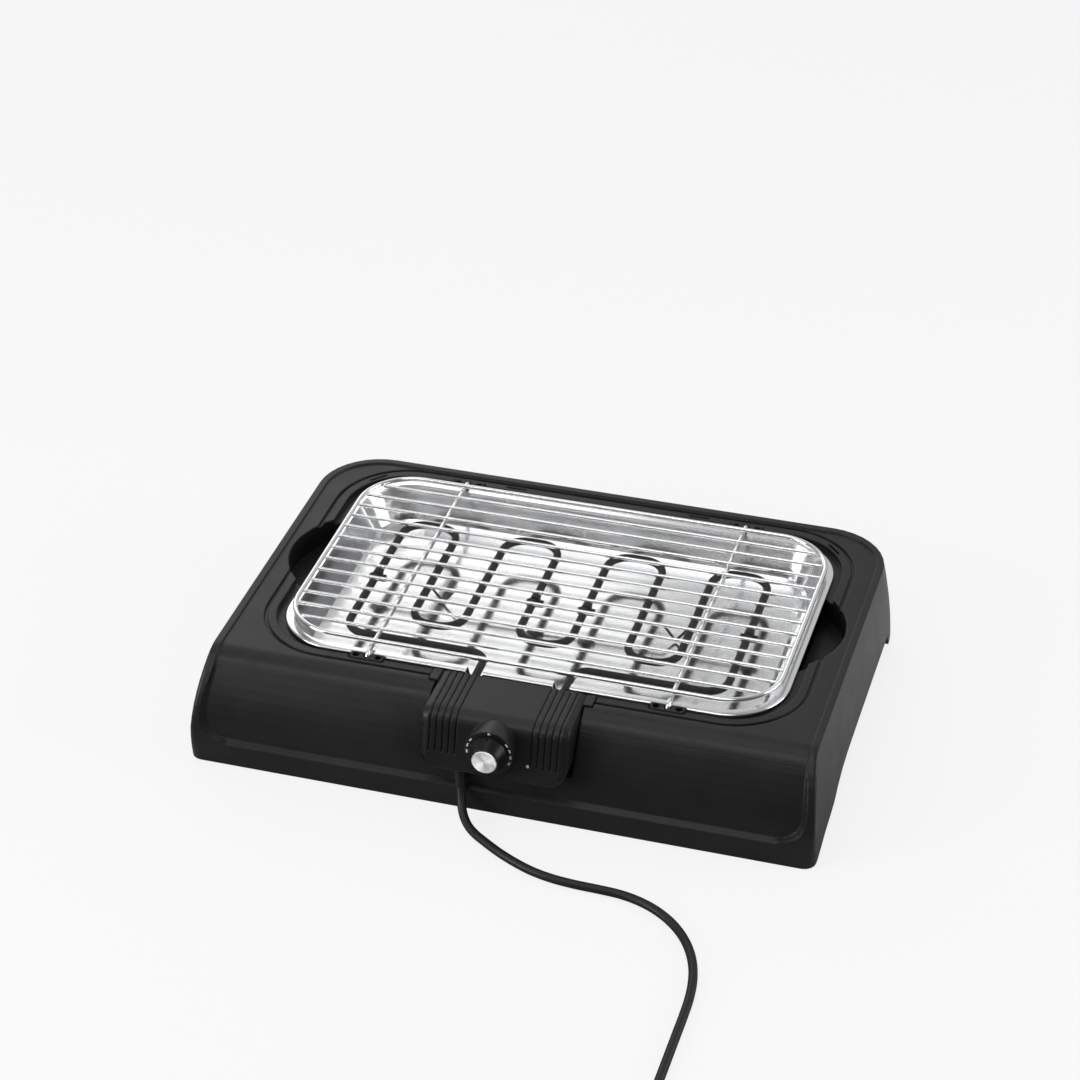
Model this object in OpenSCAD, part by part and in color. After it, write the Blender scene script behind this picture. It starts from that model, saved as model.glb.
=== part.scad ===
// Tabletop electric barbecue grill: a moulded base, a bright drip tray, a tubular element
// with its plug-on control box, and a chromed wire rack.
// X is to the right, Y to the back, Z up. The origin is at the middle of the object's
// footprint (cord left out), on the table.

/* [Base] */
// Width over the raised band of the deck
base_top_w = 491; // [470:1:540]
// Height of the raised band above the table
base_h = 85.7; // [80:0.1:95]
// How much wider the base gets on each side, from the band to the table
side_flare = 9; // [4:0.2:14]
// How far the back wall leans out
back_flare = 4.8; // [2:0.1:8]
// How far the front face stands out beyond the deck, at the table
front_run = 37.2; // [34:0.2:42]
// Radius of the long curve of the front face
face_r = 96; // [90:1:110]
// Height at which the front face is upright
face_low_z = 9.6; // [8:0.2:14]
// Radius of the roll from the band into the front face
roll_r = 22; // [19:0.5:24]
// From the middle of the well to the front edge of the deck
deck_front = 156.8; // [152:0.1:175]
// From the middle of the well to the back edge of the deck
deck_back = 152; // [150:0.5:175]
// Radius of the back corners
back_corner_r = 52; // [40:1:60]
// Radius of the front corners, over most of their height
front_corner_r = 3; // [2.5:0.5:6]
// Radius that the front corners gain down to the table
front_corner_gain = 7; // [4:0.5:12]
// Wall thickness of the moulding
wall = 3; // [2.4:0.1:4]
// Gap between the skirt and the table
skirt_gap = 0.6; // [0.4:0.1:2]
// Width of the raised band round the deck
band_w = 6; // [4:0.5:9]
// Height of the band above the deck
band_step = 1.2; // [0.8:0.1:2]
// Depth of the front panel behind its border, near the table
panel_depth = 4.9; // [4:0.1:6]
// Radius of the long curve of the front panel
panel_r = 100; // [94:1:112]
// Height of the lower edge of the front panel
panel_low_z = 22.3; // [20:0.1:25]
// Radius of the lower corners of the front panel
panel_corner_r = 19; // [14:0.5:22]
// Height of the arch under each side wall
arch_h = 24; // [18:0.5:24.5]
// Height of the lower edge of the back wall
back_edge_z = 13; // [8:0.5:18]

/* [Well] */
// Place of the middle of the well, behind the origin
well_y = 30.5; // [26:0.5:34]
// Gap between the tray's rim and the opening, at the sides
well_gap_x = 6.5; // [5:0.5:9]
// Gap between the tray's rim and the opening, in front and at the back
well_gap_y = 5; // [4.5:0.5:7]
// How far the ledge that carries the tray lies below the band
ledge_drop = 5.7; // [5:0.1:7]
// Thickness of the ledge
ledge_t = 2.5; // [2:0.1:3]
// Width of the ledge
ledge_w = 9.5; // [8:0.5:11]
// Distance of the groove in the deck from the opening
groove_off = 6.9; // [6:0.1:8]
// Width of the groove in the deck
deck_groove_w = 3; // [2:0.1:3.4]
// Depth of the groove in the deck
deck_groove_depth = 1.9; // [1:0.1:2]
// Radius of each finger scoop
scoop_r = 65; // [55:1:75]
// How far each finger scoop reaches beyond the opening
scoop_reach = 19.5; // [15:0.5:21]
// Depth of the finger scoops below the ledge
scoop_drop = 18; // [12:1:22]

/* [Tray] */
// Width of the tray over its rolled rim
tray_w = 416; // [410:1:424]
// Depth of the tray over its rolled rim
tray_d = 259; // [255:1:264]
// Corner radius of the rim
tray_r = 51; // [44:1:56]
// Thickness of the sheet
sheet_t = 0.8; // [0.5:0.1:1.2]
// Radius of the rolled edge
bead_r = 1.7; // [1.2:0.1:2.2]
// Width of the flat rim
rim_w = 7; // [5:0.5:9]
// Depth of the tray's floor below the ledge
tray_drop = 25; // [20:0.5:28]
// Width of the sloping wall, seen from above
slope_w = 12.5; // [8:0.5:16]
// Width of each notch for a lead of the element
notch_w = 14; // [10:1:18]
// Depth of the notches below the ledge
notch_drop = 10; // [9:0.5:13]

/* [Element] */
// Diameter of the heating tube
tube_d = 6.5; // [6:0.1:8]
// Height of the tube's centre line above the tray's floor
element_rise = 20; // [17:0.5:22]
// Distance of the leads from the middle
lead_x = 36.5; // [32:0.5:44]
// Distances of the four runs of each side from the middle
run_x = [157.5, 111, 68.5, 21.8];
// Front end of the outer loops, measured from the middle of the well
front_run_y = 91; // [86:0.5:94]
// Back end of the loops, measured from the middle of the well
loop_back = 76; // [66:1:84]
// Front end of the inner loops, measured from the middle of the well
loop_front = 64; // [56:1:68]
// Bend radius of the loops
loop_r = 18; // [14:0.5:20]
// Bend radius where the leads turn
lead_r = 13; // [10:0.5:16]
// Diameter of the support wire
stay_d = 2.2; // [1.8:0.1:3]
// Place of the support wire, in front of the middle of the well
stay_off = 5.5; // [0:0.5:12]
// Places of the two bent feet of the support wire
stay_foot_x = [-101, 97];

/* [Rack] */
// Width of the rack between the centre lines of its frame
rack_w = 402; // [396:1:404]
// Depth of the rack between the centre lines of its frame
rack_d = 240; // [234:1:244]
// Corner radius of the frame's centre line
rack_r = 45; // [38:1:50]
// Diameter of the frame wire
frame_d = 4; // [3.5:0.1:5]
// Diameter of each bar
bar_d = 3; // [2.4:0.1:3.4]
// Diameter of the two cross wires
cross_d = 4; // [3.5:0.1:4.4]
// Number of bars
bar_count = 13; // [9:2:13]
// Distance from bar to bar
bar_pitch = 17; // [14:0.5:17.5]
// Height of the underside of the bars above the ledge
rack_rise = 9; // [8.6:0.2:12]
// Distance of each cross wire from the middle
cross_x = 122.5; // [116:0.5:130]

/* [Supports] */
// Width of each support block
support_w = 28.5; // [26:0.5:34]
// Depth of each support block
support_d = 8; // [7.5:0.1:10]
// Height of each support block
support_h = 5.2; // [4.6:0.1:6]
// Diameter of the holes in the blocks
support_hole_d = 6; // [5.4:0.1:6.4]
// Distance from hole to hole
support_hole_pitch = 9.2; // [8.5:0.1:10]

/* [Control box] */
// Width of the control box
box_w = 120; // [116:1:130]
// Width of the ear on each side of the box, at its back
ear_w = 6; // [4:0.5:8]
// Length of each ear, front to back
ear_len = 13.5; // [10:0.5:18]
// How far the top of the box lies above the band
box_rise = 0.3; // [0:0.1:2]
// Height of the box
box_h = 45; // [43:0.5:48]
// How far the box stands out in front of the deck
box_out = 32; // [30:0.5:36]
// Lean of the box's face, as run over height
box_lean = 0.26; // [0.2:0.01:0.3]
// Radius of the long edges of the box
box_r = 6; // [4:0.5:8]
// Radius of the lower corners of its face
box_corner_r = 15; // [10:0.5:18]
// Radius of the roll from its top to its face
box_roll_r = 12; // [9:0.5:13]
// Wall thickness of the box
box_wall = 2.4; // [2:0.1:3]
// Distance of the first groove from the middle
groove_x = 30.5; // [28:0.5:34]
// Distance from groove to groove
groove_pitch = 5.25; // [4.5:0.25:5.5]
// Number of grooves on each side
groove_count = 5; // [3:1:5]
// Width of a groove
groove_w = 1.1; // [0.8:0.1:1.5]
// Depth of a groove
groove_depth = 0.9; // [0.6:0.1:1.2]
// Height at which the grooves end, above the underside of the box
groove_end = 12; // [8:1:18]

/* [Knob] */
// Distance of the knob's axis below the top of the box
knob_drop = 19; // [18:0.5:21]
// Radius of the dial ring
dial_r = 19.7; // [19:0.1:21]
// How far the dial ring stands in front of the box's lower edge
dial_out = 5.1; // [3:0.1:8]
// Radius of the foot of the knob
knob_r = 15.5; // [14:0.5:16.5]
// Radius of the front of the knob
knob_front_r = 11.4; // [11:0.1:12.5]
// Length of the knob
knob_len = 11.5; // [10:0.1:16]
// Radius of the metal cap
cap_r = 10; // [9:0.1:10.4]
// Diameter of the shaft
shaft_d = 6; // [5:0.5:8]

/* [Cord] */
// Diameter of the mains lead
cord_d = 7; // [6.5:0.1:7.4]
// Distance from turn to turn and from layer to layer of the coil
coil_pitch = 7.7; // [7.6:0.1:8.5]
// Radius of the outer turn of the coil
coil_r = 43; // [42:0.5:48]
// Turns in each of the two layers
coil_turns = 2; // [2:1:2]
// Radius of the plug's body
plug_r = 18.5; // [17:0.5:20]

/* [Hidden] */
$fn = 64;
eps = 0.01;
seat = 0.3;      // gap between pieces of different bodies
fit = 0.15;      // gap between pieces of one body that don't touch
weld = 0.05;     // gap left at a welded joint of round wires

// Base
deck_z = base_h - band_step;
deck_under = deck_z - wall - 0.2;
front_y = well_y - deck_front;
back_y = well_y + deck_back;
face_y = front_y - front_run;
panel_y = face_y + panel_depth;
panel_low_z0 = face_low_z + 0.7;
panel_top_z = 74;
well_w = tray_w + 2 * well_gap_x;
well_d = tray_d + 2 * well_gap_y;
well_r = tray_r + 2;
ledge_z = base_h - ledge_drop;
floor_z = ledge_z - tray_drop;
notch_z = ledge_z - notch_drop;
element_z = floor_z + element_rise;
rack_z = ledge_z + rack_rise;
scoop_z = ledge_z - scoop_drop;
scoop_x = well_w / 2 + scoop_reach - scoop_r;
plate_z = 26;
plate_t = 2;
foot_d = 20;
foot_x = base_top_w / 2 - 38;
foot_front_y = front_y + 6;
foot_back_y = back_y - 36;
boss_r = 5;
boss_x = [-190, 0, 190];
boss_front_y = front_y + 8.3;
boss_back_y = back_y - 14;
boss_middle_y = front_y - 13.7;

// Tray
rim_z = ledge_z + seat + 2 * bead_r;
step_z = rim_z - 2.2;
fillet_w = 3.5;
notch_x = lead_x - 1;

// Rack
frame_z = rack_z + frame_d / 2;
bar_z = rack_z + bar_d / 2;
cross_z = rack_z - cross_d / 2;
leg_off = tray_d / 2 + 4;
leg_y = [well_y - leg_off, well_y + leg_off];
leg_bend = 5;
leg_end_z = ledge_z + seat;

// Control box
box_hw = box_w / 2;
box_top = base_h + box_rise;
box_bottom = box_top - box_h;
box_lean_angle = atan(box_lean);
box_back_y = well_y - well_d / 2 - 0.5;
box_crease_y = front_y - box_out;
box_floor_t = 2;
box_low_y = box_crease_y - box_h * box_lean;
ear_z = box_top - 10;
groove_end_z = box_bottom + groove_end;
knob_z = box_top - knob_drop;
dial_y = box_low_y - dial_out;
ring_back_y = box_crease_y + 5;
knob_back_y = dial_y - 0.5;
knob_front_y = knob_back_y - knob_len;
bay_gap = 0.8;
therm_w = 32;
therm_rise = 10;
therm_front_y = box_crease_y - box_lean * (knob_drop - therm_rise) + (box_wall + seat) / cos(box_lean_angle);
lamp_x = 28.5;
lamp_z = box_bottom + 13;
lamp_r = 1.3;
stay_z = element_z - tube_d / 2 - stay_d / 2 - weld;
stay_y = well_y - stay_off;
stay_half = run_x[0] + 9;
foot_w = 21;

// Cord: route of the free stretch, chosen by hand
relief_from = [-28.3, -159.5, 44.7];
cord_route = [
    [-25.5, -167, 23.5], [-24.3, -170.5, 18], [-22.6, -174.7, 12.9], [-20, -179.6, 8.8],
    [-16.3, -185, 5.9], [-11.3, -190.6, 4.2], [-4.8, -196.3, 3.6], [3, -202, 3.6],
    [19, -212.5, 3.6], [35, -221, 3.6], [51, -227.5, 3.6], [68, -231.5, 3.6],
    [86, -233.3, 3.6], [104, -233.8, 3.6], [122, -235, 3.6], [138, -239, 3.6],
    [153, -246, 3.6], [166.5, -256, 3.6], [178, -268.5, 3.6], [187, -283, 3.6],
    [193.5, -299, 3.6], [197.5, -316, 3.6], [199.5, -334, 3.6], [200, -353, 3.6],
    [200, -372, 3.6], [200, -391, 3.6], [200, -410, 3.6], [200, -429, 3.6],
    [200, -448, 3.8], [200, -466, 4.1], [200, -484, 4.4], [200, -502, 4.6]];
coil_z = 4.6;
coil_centre = [200 - coil_r, -515];
coil_start = [200, -502, coil_z];
tail_y = coil_centre[1] - coil_r;
tie_angle = 150;
tie_w = 9;
tie_t = 0.8;
plug_rear_x = 97;
plug_len = 44;

// Points of an arc about c, from angle a0 to angle a1
function arc(c, r, a0, a1, n = 8) =
    [for (i = [0:n]) let (a = a0 + (a1 - a0) * i / n) c + r * [cos(a), sin(a)]];

// Rounded rectangle about the origin, from squares and circles
module round_rect(w, d, r) {
    square([w - 2 * r, d], center = true);
    square([w, d - 2 * r], center = true);
    for (x = [-1, 1], y = [-1, 1])
        translate([x * (w / 2 - r), y * (d / 2 - r)])
            circle(r);
}

// Front of the base or of its panel at height z: a roll of radius roll from the height top,
// then a long arc of radius r that stands upright at the height low and the depth y0
function face_at(z, top, roll, r, low, y0) =
    let (zr = top - roll,
        d = r - roll,
        joint = low + r * (zr - low) / d)
    z <= low ? y0 :
    z <= joint ? y0 + r - sqrt(r * r - (z - low) * (z - low)) :
    y0 + r - sqrt(d * d - (zr - low) * (zr - low)) - sqrt(max(roll * roll - (z - zr) * (z - zr), 0));

// Heights that divide that curve evenly: n steps in the long arc and m in the roll
function face_levels(top, roll, r, low, n, m) =
    let (turn = asin((top - roll - low) / (r - roll)))
    concat([for (i = [0:n]) low + r * sin(turn * i / n)],
        [for (i = [1:m]) top - roll + roll * sin(turn + (90 - turn) * i / m)]);

// Outline of the base at height z with its front at y, drawn in by an inset elsewhere
function base_outline(z, inset, y) =
    let (spread = 1 - z * z / (base_h * base_h),
        hw = base_top_w / 2 + side_flare * spread - inset,
        back = back_y + back_flare * spread - inset,
        rb = back_corner_r - inset,
        rf = max(front_corner_r + front_corner_gain * max(30 - z, 0) / 30 - inset, 1.5))
    concat(arc([hw - rf, y + rf], rf, -90, 0, 4), arc([hw - rb, back - rb], rb, 0, 90, 9),
        arc([-hw + rb, back - rb], rb, 90, 180, 9), arc([-hw + rf, y + rf], rf, 180, 270, 4));

// Solid through slices of equal count of points, given from the lowest to the highest
module loft(slices) {
    n = len(slices[0]);
    m = len(slices);
    walls = [for (j = [0:m - 2], k = [0:n - 1])
        let (a = j * n + k, b = j * n + (k + 1) % n) [a, a + n, b + n, b]];
    polyhedron(points = [for (s = slices) each s], convexity = 6,
        faces = concat(walls, [[for (k = [0:n - 1]) k], [for (k = [n - 1:-1:0]) (m - 1) * n + k]]));
}

// Body of the base from a height up to another, drawn in by an inset; steps are the
// numbers of slices in the long arc and in the roll
module base_form(bottom, top, inset, roll, r, y, steps) {
    low = face_low_z;
    loft([for (z = concat([bottom], face_levels(top, roll, r, low, steps[0], steps[1])))
        [for (p = base_outline(z, inset, face_at(z, top, roll, r, low, y))) [p[0], p[1], z]]]);
}

// Front panel at height z
function panel_at(z) = face_at(z, deck_z, roll_r, panel_r, panel_low_z0, panel_y);

// Recess of the front panel, with sloping walls and rounded lower corners
module panel_recess() {
    zc = panel_low_z + panel_corner_r;
    top_hw = base_top_w / 2 - band_w;
    function cut(h) = h <= 0 ? 0 : panel_corner_r - sqrt(max(panel_corner_r * panel_corner_r - h * h, 0));
    function hw(z) = top_hw + (panel_top_z - min(max(z, zc), panel_top_z)) * 0.07 - cut(zc - z);
    function slope(z) = z < 60 ? 0.9 : 0.9 - 0.8 * (z - 60) / (panel_top_z - 60);
    levels = concat([for (a = [0:18:90]) zc - panel_corner_r * cos(a)], [49, 56, 63, 70, panel_top_z]);
    edge_z = panel_low_z - 3.5;
    rows = concat(
        [[edge_z, hw(panel_low_z), face_at(edge_z, base_h, roll_r, face_r, face_low_z, face_y) - 1]],
        [for (z = levels) [z, hw(z), panel_at(z)]]);
    pts = [for (q = rows)
        let (z = q[0], w = q[1], y = q[2], wo = w + 12 * slope(z))
        each [[-wo, y - 12, z], [wo, y - 12, z], [w, y, z], [-w, y, z]]];
    m = len(rows);
    walls = [for (j = [0:m - 2], k = [0:3])
        let (a = j * 4 + k, b = j * 4 + (k + 1) % 4)
        each [[a, a + 4, b + 4], [a, b + 4, b]]];
    polyhedron(points = pts, convexity = 6,
        faces = concat(walls, [[0, 1, 2, 3], [4 * m - 1, 4 * m - 2, 4 * m - 3, 4 * m - 4]]));
}

// The recess of the deck inside the raised band, rolling down into the front panel
module deck_recess() {
    levels = [for (z = face_levels(deck_z, roll_r, panel_r, panel_low_z0, 24, 8)) if (z > 74) z];
    curve = [for (i = [len(levels) - 1:-1:0]) [panel_at(levels[i]), levels[i]]];
    back_edge = back_y - band_w;
    intersection() {
        rotate([90, 0, 90])
            translate([0, 0, -300])
                linear_extrude(600)
                    polygon(concat(
                        [[back_y + 40, base_h + 20], [back_y + 40, deck_z]],
                        curve,
                        [[curve[len(curve) - 1][0] - 0.5, 74], [-300, 74], [-300, base_h + 20]]));
        linear_extrude(base_h + 30)
            translate([0, back_edge - 300])
                round_rect(base_top_w - 2 * band_w, 600, back_corner_r - band_w);
    }
    panel_recess();
}

// Prism of the opening, grown or shrunk by an offset
module well_prism(off, z0, z1) {
    translate([0, well_y, z0])
        linear_extrude(z1 - z0)
            round_rect(well_w + 2 * off, well_d + 2 * off, well_r + off);
}

// Finger scoop beside the well; side is -1 or 1
module scoop(side, r, z0, z1) {
    translate([side * scoop_x, well_y + 1.5, z0])
        cylinder(h = z1 - z0, r = r, $fn = 96);
}

// Bay that takes the control box and its ears
module box_bay(grow, z0, z1) {
    hw = box_hw + bay_gap + grow;
    translate([-hw, front_y - 60, z0])
        cube([2 * hw, box_back_y + 1 - front_y + 60, z1 - z0]);
    ear_y = box_back_y - ear_len - bay_gap - grow;
    translate([-hw - ear_w, ear_y, ear_z - seat - grow])
        cube([2 * (hw + ear_w), box_back_y + 1 - ear_y, z1 - ear_z + seat + grow]);
}

// Narrow slot in the deck
module deck_slot(x, y, angle, len) {
    translate([x, y, deck_under - 5])
        rotate([0, 0, angle])
            linear_extrude(20)
                round_rect(len, 2, 0.9);
}

// Posts that the bottom plate is screwed to
module base_bosses() {
    for (x = boss_x, y = [boss_front_y, boss_back_y])
        if (!(x == 0 && y == boss_front_y))
            translate([x, y, plate_z + plate_t])
                cylinder(h = deck_under - plate_z - plate_t + 1, r = boss_r);
    translate([0, boss_middle_y, plate_z + plate_t])
        cylinder(h = box_bottom - plate_z - plate_t - 3, r = boss_r);
}

module base_housing() {
    color([0.15, 0.145, 0.145])
    difference() {
        union() {
            difference() {
                base_form(skirt_gap, base_h, 0, roll_r, face_r, face_y, [8, 5]);
                base_form(-1, deck_under, wall, roll_r - wall, panel_r - wall, panel_y + wall, [5, 3]);
            }
            intersection() {
                base_form(skirt_gap, base_h, 1, roll_r - 1, face_r - 1, face_y + 1, [6, 3]);
                union() {
                    well_prism(wall - 0.5, ledge_z - ledge_t, deck_z - 0.5);
                    for (side = [-1, 1])
                        scoop(side, scoop_r + wall - 0.5, scoop_z - 2.5, deck_z - 0.5);
                    box_bay(2.5, box_bottom - 3.3, deck_z - 0.5);
                }
            }
            base_bosses();
        }
        deck_recess();
        // groove round the opening
        difference() {
            well_prism(groove_off + deck_groove_w, deck_z - deck_groove_depth, base_h + 5);
            well_prism(groove_off, deck_z - deck_groove_depth - 1, base_h + 6);
        }
        // the opening, down to the ledge, and the well inside the ledge
        well_prism(0, ledge_z, base_h + 5);
        well_prism(-ledge_w, scoop_z - 5, base_h + 5);
        for (side = [-1, 1])
            scoop(side, scoop_r, scoop_z, base_h + 5);
        // bay of the control box, with the ledge open behind it
        box_bay(0, box_bottom - seat, base_h + 5);
        translate([-box_hw - bay_gap, box_back_y, box_bottom - seat])
            cube([box_w + 2 * bay_gap, ledge_w + 2, base_h]);
        // seats of the rack supports
        for (x = [-cross_x, cross_x], side = [-1, 1])
            translate([x, well_y + side * (tray_d / 2 + support_d / 2 + seat), ledge_z + 10])
                cube([support_w + 0.4, support_d + 0.4, 20], center = true);
        for (side = [-1, 1]) {
            deck_slot(side * 80.5, well_y + 138.5, 0, 18);
            deck_slot(side * 200, well_y + 122, -side * 48, 17);
        }
        side_arches();
        for (x = boss_x, y = [boss_front_y, boss_back_y])
            if (!(x == 0 && y == boss_front_y))
                translate([x, y, plate_z])
                    cylinder(h = 14, r = 1.4);
        translate([0, boss_middle_y, plate_z])
            cylinder(h = 9, r = 1.4);
    }
}

// Arch under both side walls, up to the corners at the back, which end above the table
module side_arches() {
    y0 = face_y + 17;
    h = arch_h / 24;
    rear = back_y - 54;
    translate([-300, 0, 0])
        rotate([90, 0, 90])
            linear_extrude(600)
                polygon([
                    [y0, -1], [y0, skirt_gap + 0.4], [y0 + 9, 2.6 * h], [y0 + 25, 6.3 * h],
                    [y0 + 43, 8.4 * h], [y0 + 60, 11 * h], [y0 + 73, 16.9 * h], [y0 + 89, 20.8 * h],
                    [y0 + 108, 22.7 * h], [y0 + 150, 23.4 * h], [rear - 2, arch_h], [rear, arch_h - 1.5],
                    [rear + 1, back_edge_z + 1.5], [rear + 3, back_edge_z], [back_y + 60, back_edge_z],
                    [back_y + 60, -1]]);
}

module base_plate() {
    inset = wall + 2;
    rib_h = 1.5;
    front = face_at(plate_z, deck_under, roll_r - wall, panel_r - wall, face_low_z, panel_y + wall) + 1.5;
    color([0.2, 0.2, 0.2])
    difference() {
        union() {
            translate([0, 0, plate_z])
                linear_extrude(plate_t)
                    difference() {
                        polygon(base_outline(plate_z, inset, front));
                        for (x = [-160:40:160], y = [-20, 80])
                            translate([x, y])
                                round_rect(4, 50, 1.9);
                    }
            for (y = [-60, 20 + 110])
                translate([-200, y - 2, plate_z + plate_t - eps])
                    cube([400, 4, rib_h]);
        }
        for (x = boss_x, y = [boss_front_y, boss_back_y])
            if (!(x == 0 && y == boss_front_y))
                translate([x, y, plate_z - 1])
                    cylinder(h = plate_t + 2, r = 1.8);
        translate([0, boss_middle_y, plate_z - 1])
            cylinder(h = plate_t + 2, r = 1.8);
    }
}

// Tall rubber foot; each stands under the bottom plate
module foot(i) {
    x = (i % 2 == 0 ? 1 : -1) * foot_x;
    y = i <= 2 ? foot_front_y : foot_back_y;
    color([0.09, 0.09, 0.09])
        translate([x, y, 0])
            rotate_extrude()
                polygon([[0, 0], [foot_d / 2 - 1.5, 0], [foot_d / 2, 1.5], [foot_d / 2, 6],
                    [foot_d / 2 - 1.5, 7.5], [foot_d / 2 - 1, plate_z - 3], [foot_d / 2 + 1, plate_z - 2],
                    [foot_d / 2 + 1, plate_z], [0, plate_z]]);
}

// Block that takes one leg of the rack; 1 and 2 are in front, 3 and 4 at the back
module rack_support(i) {
    x = (i % 2 == 0 ? 1 : -1) * cross_x;
    side = i <= 2 ? -1 : 1;
    y_in = tray_d / 2 + seat;
    hole_y = leg_off;
    color([0.17, 0.17, 0.18])
        translate([x, well_y, ledge_z])
            mirror([0, side < 0 ? 1 : 0, 0])
                difference() {
                    linear_extrude(support_h)
                        polygon([[-support_w / 2, y_in], [support_w / 2, y_in],
                            [support_w / 2 - 1.5, y_in + support_d],
                            [-support_w / 2 + 1.5, y_in + support_d]]);
                    for (k = [-1, 0, 1])
                        translate([k * support_hole_pitch, hole_y, -1])
                            cylinder(h = support_h + 2, r = support_hole_d / 2);
                    translate([-cross_d / 2 - 0.4, y_in - 2, -1])
                        cube([cross_d + 0.8, hole_y - y_in + 2, support_h + 2]);
                }
}

// Sweeps its child, a profile drawn as distance from the corner's centre and height,
// round a rounded rectangle about the middle of the well
module rim_sweep(w, d, r) {
    hx = w / 2 - r;
    hy = d / 2 - r;
    for (c = [[hx, hy, 0], [-hx, hy, 90], [-hx, -hy, 180], [hx, -hy, 270]])
        translate([c[0], well_y + c[1], 0])
            rotate([0, 0, c[2]])
                rotate_extrude(angle = 90, $fn = 96)
                    children();
    for (side = [0, 180]) {
        translate([0, well_y, 0])
            rotate([0, 0, side])
                translate([-hx, hy, 0])
                    rotate([90, 0, 90])
                        linear_extrude(2 * hx)
                            children();
        translate([0, well_y, 0])
            rotate([0, 0, side])
                translate([hx, hy, 0])
                    rotate([90, 0, 0])
                        linear_extrude(2 * hy)
                            children();
    }
}

// Section of the tray's rim and wall
module tray_profile() {
    r = tray_r;
    t = sheet_t;
    d1 = rim_w;
    d2 = rim_w + 1.2;
    d3 = d2 + slope_w;
    d4 = d3 + fillet_w;
    translate([r - bead_r, rim_z - bead_r])
        circle(bead_r, $fn = 32);
    polygon([
        [r - bead_r, rim_z], [r - d1, rim_z], [r - d2, step_z], [r - d3, floor_z + t + 1.5],
        [r - d4, floor_z + t], [r - d4 - 0.5, floor_z + t], [r - d4 - 0.5, floor_z],
        [r - d4 + 0.4, floor_z], [r - d3 + t, floor_z + 1.2],
        [r - d2 + t, step_z - t / 2], [r - d1 + t / 2, rim_z - t], [r - bead_r, rim_z - t]]);
}

module reflector_tray() {
    inner = rim_w + 1.2 + slope_w + fillet_w;
    color([0.8, 0.81, 0.83])
    difference() {
        union() {
            rim_sweep(tray_w, tray_d, tray_r)
                tray_profile();
            translate([0, well_y, floor_z])
                linear_extrude(sheet_t)
                    round_rect(tray_w - 2 * inner, tray_d - 2 * inner, tray_r - inner);
        }
        for (side = [-1, 1])
            translate([side * notch_x, well_y - tray_d / 2 + rim_w + 3, notch_z + 3])
                rotate([90, 0, 0])
                    translate([0, 10, -8])
                        linear_extrude(30)
                            round_rect(notch_w, 26, 3);
    }
}

// Points of a path in a plane, with an arc of n steps at each inner point
function bent_path(pts, radii, n) =
    let (m = len(pts))
    [for (i = [0:m - 1])
        each (i == 0 || i == m - 1) ? [pts[i]] :
            let (a = (pts[i] - pts[i - 1]) / norm(pts[i] - pts[i - 1]),
                b = (pts[i + 1] - pts[i]) / norm(pts[i + 1] - pts[i]),
                turn = atan2(a[0] * b[1] - a[1] * b[0], a * b),
                s = sign(turn),
                p = pts[i] - a * radii[i] * tan(abs(turn) / 2),
                c = p + s * radii[i] * [-a[1], a[0]],
                start = atan2(p[1] - c[1], p[0] - c[0]))
            arc(c, radii[i], start, start + turn, n)];

// Tube of diameter d along points in a plane, with a bend radius at each inner point
module bent_tube(pts, radii, d) {
    n = len(pts);
    function unit(v) = v / norm(v);
    function turn(i) = let (a = unit(pts[i] - pts[i - 1]), b = unit(pts[i + 1] - pts[i]))
        atan2(a[0] * b[1] - a[1] * b[0], a[0] * b[0] + a[1] * b[1]);
    function trim(i) = (i <= 0 || i >= n - 1) ? 0 : radii[i] * tan(abs(turn(i)) / 2);
    for (i = [0:n - 2]) {
        dir = unit(pts[i + 1] - pts[i]);
        a = pts[i] + dir * trim(i);
        len = norm(pts[i + 1] - pts[i]) - trim(i) - trim(i + 1);
        translate([a[0], a[1], 0])
            rotate([0, 90, atan2(dir[1], dir[0])])
                cylinder(h = len, r = d / 2, $fn = 32);
    }
    for (i = [1:n - 2]) {
        dir = unit(pts[i] - pts[i - 1]);
        s = sign(turn(i));
        a = pts[i] - dir * trim(i);
        c = a + s * radii[i] * [-dir[1], dir[0]];
        start = atan2(a[1] - c[1], a[0] - c[0]);
        translate([c[0], c[1], 0])
            rotate([0, 0, s > 0 ? start : start + turn(i)])
                rotate_extrude(angle = abs(turn(i)), $fn = 96)
                    translate([radii[i], 0])
                        circle(d / 2, $fn = 32);
    }
}

// Right half of the element's path, from the box to the middle loop
element_half = [
    [lead_x, box_back_y - 14], [lead_x, well_y - front_run_y], [run_x[0], well_y - front_run_y],
    [run_x[0], well_y + loop_back], [run_x[1], well_y + loop_back],
    [run_x[1], well_y - loop_front], [run_x[2], well_y - loop_front],
    [run_x[2], well_y + loop_back], [run_x[3], well_y + loop_back],
    [run_x[3], well_y - loop_front]];

module heating_element() {
    n = len(element_half);
    left = [for (i = [n - 1:-1:0]) [-element_half[i][0], element_half[i][1]]];
    bends = [for (i = [0:2 * n - 1]) (i == 1 || i == 2 * n - 2) ? lead_r : loop_r];
    color([0.09, 0.09, 0.1])
        translate([0, 0, element_z])
            bent_tube(concat(element_half, left), bends, tube_d);
}

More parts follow.
